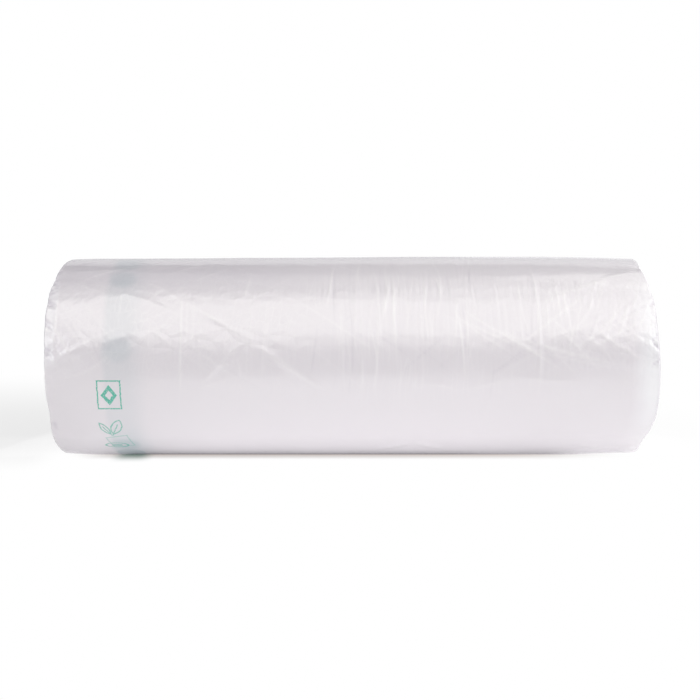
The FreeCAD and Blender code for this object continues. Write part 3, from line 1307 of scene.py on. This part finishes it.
@dataclass(frozen=True)
class PrintMarks:
    """The print on the outer bag: a framed diamond, two leaves, and a fainter tilted frame below them."""

    column: float = -118.8
    line: float = 0.28

    def build(self, distances: bpy.types.NodeTree) -> bpy.types.NodeTree:
        """Draws the marks.

        Args:
            distances: the group that reads the film's map.

        Returns:
            The group that gives the ink's strength.
        """
        tree, graph = new_group("print marks", "Ink")
        along, turned = graph.group(distances)
        where = graph.vector(along, turned)
        across = along - self.column + graph.noise(where, 0.5, 1.0) * 0.8 - 0.4
        ink = self.framed_diamond(across, turned + 10.4)
        ink = ink.most(self.leaf_pair(across, turned + 29.8) * 0.75)
        ink = ink.most(self.tilted_frame(across, turned + 43.0))
        graph.fill(graph.node("NodeGroupOutput"), {"Ink": ink * graph.noise(where, 1.8).step(0.22, 0.5)})
        return tree

    def stroke(self, distance: Value, half: float) -> Value:
        """Returns a line of a given half width where a distance is 0."""
        return abs(distance).step(half + 0.26, half - 0.14)

    def box(self, x: Value, y: Value, half_x: float, half_y: float) -> Value:
        """Returns the distance to the outline of a box, below 0 inside it."""
        return (abs(x) - half_x).most(abs(y) - half_y)

    def ellipse(self, x: Value, y: Value, half_x: float, half_y: float) -> Value:
        """Returns the near distance to an ellipse, below 0 inside it."""
        return ((x / half_x).hypot(y / half_y) - 1.0) * min(half_x, half_y)

    def framed_diamond(self, x: Value, y: Value) -> Value:
        """Returns a thin upright frame with a bold diamond in it, open in the middle."""
        frame_line = self.stroke(self.box(x, y, 5.6, 7.5), self.line)
        return frame_line.most(self.stroke(abs(x) + abs(y) * 0.72 - 2.9, 1.0))

    def leaf(self, x: Value, y: Value, half: float, tall: float) -> Value:
        """The outline of an upright leaf: where two equal discs overlap.

        Args:
            x: the distance across from its middle.
            y: the distance up from its middle.
            half: its half width.
            tall: its half height.

        Returns:
            The ink's strength.
        """
        radius = (half**2 + tall**2) / (2.0 * half)
        left, right = ((x + way * (radius - half)).hypot(y) - radius for way in (-1.0, 1.0))
        return self.stroke(left.most(right), self.line)

    def leaf_pair(self, x: Value, y: Value) -> Value:
        """A slim leaf and a broad one, spread from one foot, each with its rib.

        Args:
            x: the distance along the roll from the print's middle.
            y: the distance round the roll from the mark's middle.

        Returns:
            The ink's strength.
        """
        off_x, off_y = x + 0.6, y + 6.4
        leaves = []
        for lean, half, tall in ((-0.55, 1.5, 4.6), (0.38, 2.5, 5.2)):
            cos, sin = math.cos(lean), math.sin(lean)
            foot = -tall - 1.6
            across = off_x * cos + off_y * -sin
            upward = off_x * sin + off_y * cos + foot
            rib = self.stroke(across, self.line * 0.8) * upward.between(foot, foot + 0.4, 2.0, 2.4)
            leaves.append(rib.most(self.leaf(across, upward, half, tall)))
        return leaves[0].most(leaves[1])

    def tilted_frame(self, x: Value, y: Value) -> Value:
        """A fainter frame, turned a little, with an oval ring and a bar beside it.

        Args:
            x: the distance along the roll from the print's middle.
            y: the distance round the roll from the mark's middle.

        Returns:
            The ink's strength.
        """
        cos, sin = math.cos(0.2), math.sin(0.2)
        off, low = x - 2.4, y + 4.6
        frame_box = self.box(off * cos + y * sin, y * cos - off * sin, 5.4, 6.2)
        oval = self.stroke(self.ellipse(x, low, 5.6, 3.2), self.line) * 0.8
        bar = self.box(x, low, 2.6, 0.8).step(0.2, -0.1) * 0.75
        return (self.stroke(frame_box, self.line) * 0.4).most(oval).most(bar)


@dataclass(frozen=True)
class TurnEdgeFinish:
    """The ends of the roll: the edges of hundreds of turns, packed side by side."""

    axis_height: float
    colour: Colour = (0.80, 0.78, 0.82, 1.0)
    gap_shade: Colour = (0.52, 0.52, 0.58, 1.0)
    pitch: float = 0.0011

    def build(self) -> bpy.types.Material:
        """Builds the finish.

        Returns:
            The material.
        """
        made, graph, shader = new_material("turn_edges")
        spot = graph.place()
        _, y, z = graph.parts(spot)
        up = z - self.axis_height
        radius = y.hypot(up)
        turn = up.calc(MathOp.ARCTAN2, y) * (1.0 / (2.0 * math.pi))
        spiral = (radius + graph.noise(spot, 60.0) * 0.0012) * (1.0 / self.pitch) + turn
        ridge = spiral.fract().between(0.0, 0.4, 0.6, 1.0)
        streak = graph.noise(graph.vector(radius, 0.0), 900.0, 3.0)
        uneven = streak * 0.7 + graph.noise(spot, 140.0, 3.0) * 0.3
        height = ridge * 0.5 + uneven * 0.8
        # Painted shade: the low places between the turns' edges take the darker colour; the streaks also
        # vary it
        tone = graph.blend(height.step(0.25, 0.8), self.gap_shade, self.colour)
        normal = graph.bump(height, 0.9, 0.0004)
        graph.fill(shader, {"Base Color": tone, "Roughness": 0.4, "Normal": normal})
        return made


@dataclass(frozen=True)
class CardFinish:
    """Brown card wound as a spiral strip, with its seam and fibres."""

    axis_height: float
    colour: Colour = (0.40, 0.29, 0.185, 1.0)
    dark: Colour = (0.29, 0.20, 0.12, 1.0)
    pitch: float = 0.06

    def build(self) -> bpy.types.Material:
        """Builds the finish.

        Returns:
            The material.
        """
        made, graph, shader = new_material("spiral_card")
        spot = graph.place()
        x, y, z = graph.parts(spot)
        turn = (z - self.axis_height).calc(MathOp.ARCTAN2, y) * (1.0 / (2.0 * math.pi))
        seam = (x * (1.0 / self.pitch) + turn).fract().between(0.0, 0.02, 0.98, 1.0)
        fibre = graph.noise(graph.vector(x * 3.0, y, z), 420.0, 4.0, 0.65)
        share = fibre * 0.55 + graph.noise(spot, 55.0, 3.0) * 0.45
        tone = graph.blend(share.step(0.3, 0.7), self.dark, self.colour)
        tone = graph.blend((1.0 - seam) * 0.6, tone, self.dark)
        height = seam * 0.5 + fibre * 0.35
        normal = graph.bump(height, 0.7, 0.0003)
        graph.fill(shader, {"Base Color": tone, "Roughness": 0.85, "Normal": normal})
        return made


# -------------------------------------------------------------------------------- studio


@dataclass(frozen=True)
class SoftBox:
    """A large soft lamp: where it stands, what it faces, its size in metres and how bright its face is."""

    name: str
    place: Spot
    faces: Spot
    size: tuple[float, float]
    glow: float
    colour: Spot = (1.0, 1.0, 1.0)
    turn: float = 0.0

    def build(self) -> bpy.types.Object:
        """Hangs the lamp.

        Returns:
            The lamp.
        """
        data = bpy.data.lights.new(self.name, "AREA")
        data.shape = "RECTANGLE"
        data.size, data.size_y = self.size
        data.energy = self.glow * math.pi * self.size[0] * self.size[1]
        data.color = self.colour
        made = link(self.name, data)
        made.location = self.place
        aimed = (Vector(self.faces) - Vector(self.place)).to_track_quat("-Z", "Y").to_matrix()
        made.rotation_euler = (Matrix.Rotation(math.radians(self.turn), 3, "Z") @ aimed).to_euler()
        made.visible_camera = False
        return made


WARM = (1.0, 0.995, 0.94)


@dataclass
class Studio:
    """The pale floor, the lamps, the world and the camera."""

    axis_height: float
    distance: float = 0.716
    lens: float = 70.6
    elevation: float = 10.0
    aim: tuple[float, float] = (-0.0012, 0.0035)
    # The matt floor's colours: pale near the roll and dim away from it, a painted pool of light
    pale: Colour = (0.75, 0.75, 0.75, 1.0)
    dim: Colour = (0.35, 0.35, 0.36, 1.0)
    lit_floor: float = 0.39
    lit_middle: Spot = (0.01, 0.06, 0.0)
    lit_reach: tuple[float, float] = (0.07, 0.22)
    lit_from: tuple[float, float] = (0.045, -0.056)
    raised_glow: float = 0.38
    side_glow: float = 0.6
    shade_middle: Spot = (-0.076, 0.04, 0.0)
    shade_reach: tuple[float, float] = (0.03, 0.18)
    white_share: float = 0.68
    # Painted shadow on the floor: its colour where the roll touches, and print_shade under the print
    contact_shadow: Colour = (0.62, 0.53, 0.49, 1.0)
    print_shade: Colour = (0.1, 0.2, 0.16, 1.0)
    print_middle: float = -0.1145
    fill_light: Colour = (0.205, 0.205, 0.22, 1.0)
    mirrored_side: Colour = (0.66, 0.66, 0.7, 1.0)
    mirrored_front: Colour = (0.325, 0.322, 0.333, 1.0)
    mirrored_back: Colour = (0.1, 0.1, 0.12, 1.0)
    boxes: tuple[SoftBox, ...] = (
        SoftBox("overhead_box", (0.21, -0.464, 0.838), (0.0, 0.0, 0.05), (1.5, 1.16), 0.66, WARM),
        SoftBox("overhead_core", (0.0, -0.479, 0.746), (0.0, 0.0, 0.05), (1.3, 0.63), 0.70, WARM),
        SoftBox("crown_box", (0.10, 0.13, 0.94), (0.0, 0.0, 0.05), (1.7, 0.26), 0.3, WARM),
        SoftBox("rear_box", (0.60, 0.12, 0.90), (0.15, 0.05, 0.05), (0.9, 0.46), 0.93, WARM, 35.0),
        SoftBox("right_box", (0.95, -0.62, 0.38), (0.0, 0.0, 0.05), (0.8, 0.8), 1.52),
        SoftBox("left_card", (-0.85, -0.62, 0.36), (0.0, 0.0, 0.05), (0.7, 0.7), 1.4),
        SoftBox("back_box", (0.6, 1.4, 0.62), (0.0, 0.0, 0.1), (2.75, 1.25), 0.57),
        SoftBox("back_low_box", (0.40, 1.2, 0.2), (0.0, 0.0, 0.1), (0.5, 0.3), 0.2),
        SoftBox("back_right_box", (0.86, 0.68, 0.70), (0.1, 0.0, 0.05), (1.0, 0.5), 0.62),
    )

    def floor(self) -> bpy.types.Object:
        """Lays the floor, which shows white to the camera and keeps the roll's shadow.

        Returns:
            The floor.
        """
        bm = bmesh.new()
        bmesh.ops.create_grid(bm, x_segments=8, y_segments=8, size=1.2)
        mesh = bpy.data.meshes.new("floor")
        bm.to_mesh(mesh)
        bm.free()
        mesh.materials.append(self.floor_finish())
        made = link("floor", mesh)
        return made

    def floor_finish(self) -> bpy.types.Material:
        """Builds the floor's finish: a matt table with a faint glow, and what the camera sees of it.

        Returns:
            The material.
        """
        made = bpy.data.materials.new("pale_floor")
        graph = emptied(made)
        path = graph.node("ShaderNodeLightPath")
        side, back, _ = graph.parts(graph.place())
        pool = graph.distance(graph.vector(side * 0.55, abs(back)), self.lit_middle)
        matt = graph.node("ShaderNodeBsdfDiffuse")
        # A painted pool of light: the matt floor is pale round the roll and dim further off, which the roll
        # reflects
        graph.feed(matt.inputs["Color"], graph.blend(pool.step(0.12, 0.34), self.pale, self.dim))
        beside = abs(side).step(0.165, 0.24).most(back.step(0.1, 0.2))
        mirrored = beside * path.outputs["Is Glossy Ray"] * self.side_glow
        near = pool.step(self.lit_reach[1], self.lit_reach[0]) * self.open_light(side, back)
        glow = graph.node("ShaderNodeEmission")
        graph.feed(glow.inputs["Strength"], near * self.lit_floor + mirrored)
        table = graph.joined("ShaderNodeAddShader", matt.outputs[0], glow.outputs[0])
        white = graph.node("ShaderNodeEmission")
        graph.feed(white.inputs["Color"], self.foot_tone(side, back))
        bright = self.open_floor(side, back) * (1.0 - self.white_share) + self.white_share
        shown = graph.joined("ShaderNodeMixShader", bright, table.outputs[0], white.outputs[0])
        camera_ray = path.outputs["Is Camera Ray"]
        graph.surface(graph.joined("ShaderNodeMixShader", camera_ray, table.outputs[0], shown.outputs[0]))
        return made

    def open_light(self, side: Value, back: Value) -> Value:
        """How strongly the floor glows round the roll: least under it.

        Args:
            side: the distance along the roll from its middle.
            back: the distance behind the roll's foot, below 0 in front of it.

        Returns:
            Its strength.
        """
        wide = abs(side)
        ends = side.step(0.1, 0.15).most(side.step(-0.112, -0.15)) * wide.step(0.2, 0.16)
        opened = back - ends * 0.06
        behind = back.step(0.03, 0.07) * wide.step(0.17, 0.13) * 0.8
        weak = side.step(-0.07, -0.12) * -0.22 + 1.0 + side.step(0.06, 0.1) * -0.1
        tucked = (opened.step(-0.002, -0.019) * 0.85 + 0.15).most(side.step(0.07, 0.12) * 0.8)
        clear = (opened.step(*self.lit_from) * tucked + behind) * weak
        raised_ends = side.step(0.045, 0.09).most(side.step(-0.125, -0.15))
        return clear + raised_ends * back.between(-0.016, -0.006, 0.02, 0.04) * self.raised_glow

    def foot_tone(self, side: Value, back: Value) -> Value:
        """The white that the camera sees, with a painted shadow where the roll touches and a painted green
        shade under the print.

        Args:
            side: the distance along the roll from its middle.
            back: the distance behind the roll's foot, below 0 in front of it.

        Returns:
            The colour.
        """
        # Painted contact shadow at the foot, and painted shade under the print
        touch = back.between(-0.018, -0.0045, 0.0, 0.02) * side.between(-0.15, -0.115, 0.075, 0.145)
        print_strip = abs(side - self.print_middle).step(0.0125, 0.003)
        under_print = print_strip * back.between(-0.025, -0.003, 0.0, 0.02)
        tone = side.graph.blend(touch, WHITE, self.contact_shadow)
        return side.graph.blend(under_print, tone, self.print_shade)

    def open_floor(self, side: Value, back: Value) -> Value:
        """Where the camera sees plain white floor: away from the roll, and ahead of its foot.

        Args:
            side: the distance along the roll from its middle.
            back: the distance behind the roll's foot, below 0 in front of it.

        Returns:
            The share of white.
        """
        graph = side.graph
        shade = graph.distance(graph.vector(side * 0.4, back), self.shade_middle)
        open_side = side.step(-0.126, -0.142).most(side.step(0.06, 0.13))
        ahead = back.step(-0.011, -0.019).most(open_side) * back.step(0.02, -0.01)
        far_left = side.step(-0.15, -0.17) * back.step(-0.05, -0.01)
        return shade.step(*self.shade_reach).most(ahead * (far_left * -0.6 + 1.0))

    def world(self) -> None:
        """Lights everything evenly, and shows white to the camera."""
        made = bpy.data.worlds.new("studio")
        bpy.context.scene.world = made
        graph = emptied(made)
        path = graph.node("ShaderNodeLightPath")
        side, away, _ = graph.parts(graph.node("ShaderNodeTexCoord").outputs["Generated"])
        mirrored = graph.blend(away.step(0.1, 0.4), self.mirrored_front, self.mirrored_back)
        mirrored = graph.blend(abs(side).step(0.22, 0.45), mirrored, self.mirrored_side)
        tone = graph.blend(path.outputs["Is Glossy Ray"], self.fill_light, mirrored)
        background = graph.node("ShaderNodeBackground")
        graph.feed(background.inputs["Color"], graph.blend(path.outputs["Is Camera Ray"], tone, WHITE))
        graph.surface(background, "ShaderNodeOutputWorld")

    def camera(self) -> bpy.types.Object:
        """Sets the camera up, level with its long side along the roll.

        Returns:
            The camera.
        """
        data = bpy.data.cameras.new("camera")
        data.lens = self.lens
        data.sensor_width = 36.0
        made = link("camera", data)
        tilt = math.radians(self.elevation)
        target = Vector((self.aim[0], 0.0, self.axis_height + self.aim[1]))
        back = Vector((0.0, -math.cos(tilt), math.sin(tilt)))
        made.location = target + back * self.distance
        made.rotation_euler = (-back).to_track_quat("-Z", "Y").to_euler()
        bpy.context.scene.camera = made
        return made

    def build(self) -> None:
        """Sets the whole studio up."""
        self.floor()
        self.world()
        for box in self.boxes:
            box.build()
        self.camera()
        bpy.context.scene.view_settings.view_transform = "Standard"


def main() -> None:
    """Builds the roll piece by piece, dresses it, and lights it."""
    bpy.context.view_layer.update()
    low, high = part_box("wound_bags")
    core_low, core_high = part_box("core_tube")
    axis_height = (core_low.z + core_high.z) / 2
    form = RollForm(
        length=(high.x - low.x) / MM,
        radius=math.hypot(axis_height / MM, RollForm.half_flat),
        axis_height=axis_height / MM,
        bore=(core_high.z - core_low.z) / 2 / MM + WIND_CLEARANCE,
    )
    distances = FilmMap(form.length, form.radius, form.start_angle()).build()
    roll = WoundBags(form).build()
    roll.data.materials.append(FilmFinish().build(distances, Crinkle().build(distances)))
    roll.data.materials.append(TurnEdgeFinish(axis_height).build())
    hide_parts("wound_bags")
    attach(roll, "root")
    LOG.info("film_roll: %d faces", len(roll.data.polygons))

    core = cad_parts["core_tube"]
    core.data.materials.clear()
    core.data.materials.append(CardFinish(axis_height).build())
    LOG.info("core_tube dressed")

    Studio(axis_height).build()
    bpy.context.view_layer.update()


if __name__ == "__main__":
    main()
